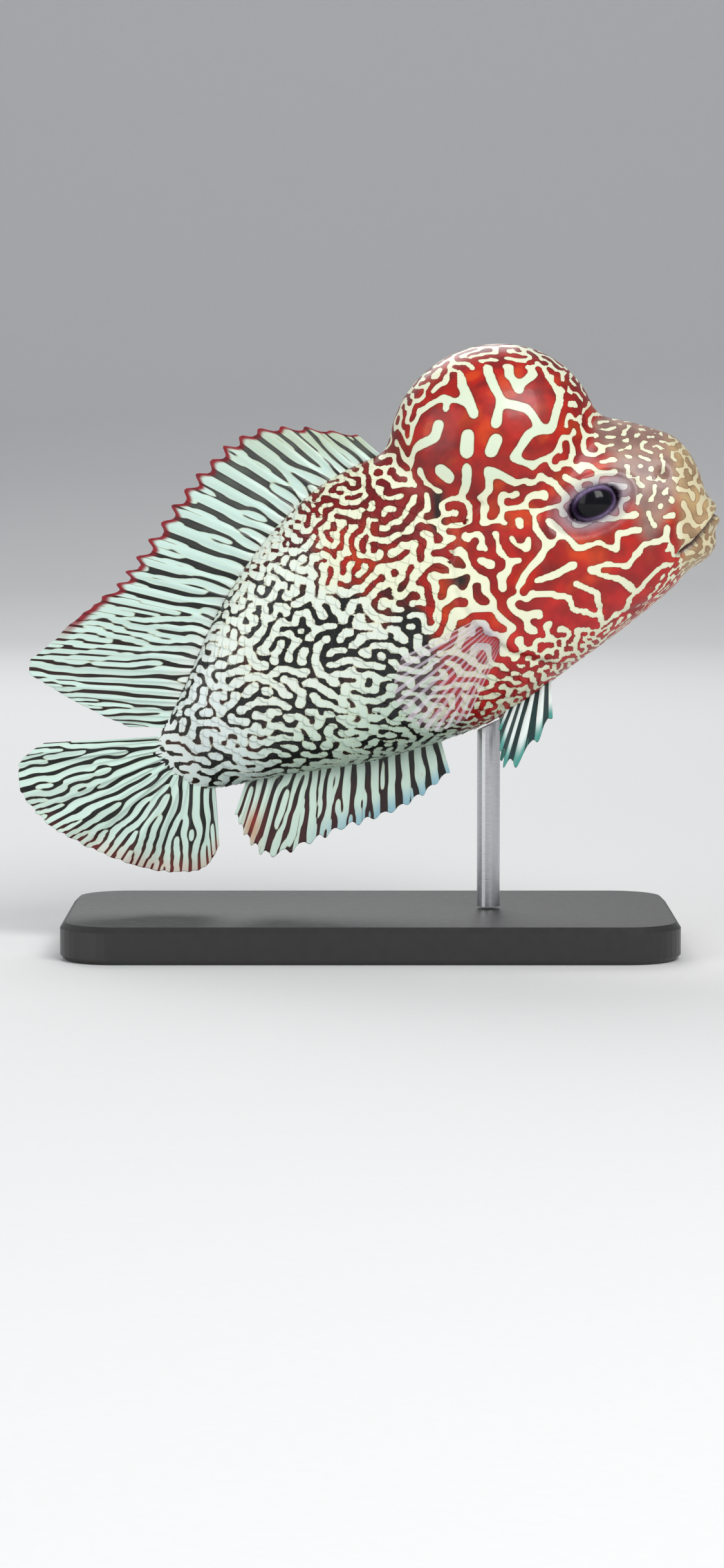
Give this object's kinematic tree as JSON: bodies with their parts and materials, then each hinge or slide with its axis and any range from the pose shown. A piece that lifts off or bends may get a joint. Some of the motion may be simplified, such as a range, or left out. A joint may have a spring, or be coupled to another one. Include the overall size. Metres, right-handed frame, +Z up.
{
  "type": "flowerhorn cichlid museum model",
  "caption": "Life-size still model of a young flowerhorn cichlid with a nuchal hump and spread fins, held head up by one rod on a flat display base.",
  "frame": {"origin": "middle of the model's bounding box, on the underside of the stand's base", "axes": "+X towards the fish's head, +Y to the fish's left, +Z up"},
  "size_m": [0.0766, 0.036, 0.0654],
  "materials": {
    "skin_front": "wet scaled skin, deep red with a cream maze of lines",
    "skin_rear": "wet scaled skin, pale mint with thin black winding lines",
    "eye": "wet clear eye with a dark pupil and a violet iris",
    "fin": "thin rayed membrane, pale mint dashes between dark lines",
    "clear_fin": "thin clear rayed membrane",
    "stand_plate": "satin black",
    "stand_metal": "brushed"
  },
  "bodies": {
    "root": {"head": "skin_front", "lower_jaw": "skin_front", "nuchal_hump": "skin_front", "gill_cover_right": "skin_front", "gill_cover_left": "skin_front", "trunk_front": "skin_front", "trunk_rear": "skin_rear", "tail_stalk": "skin_rear", "eye_right": "eye", "eye_left": "eye", "dorsal_fin_spiny": "fin", "dorsal_fin_soft": "fin", "anal_fin": "fin", "caudal_fin": "fin", "pectoral_fin_right": "clear_fin", "pectoral_fin_left": "clear_fin", "pelvic_fin_right": "fin", "pelvic_fin_left": "fin", "stand_base": "stand_plate", "stand_rod": "stand_metal"}
  },
  "joints": []
}
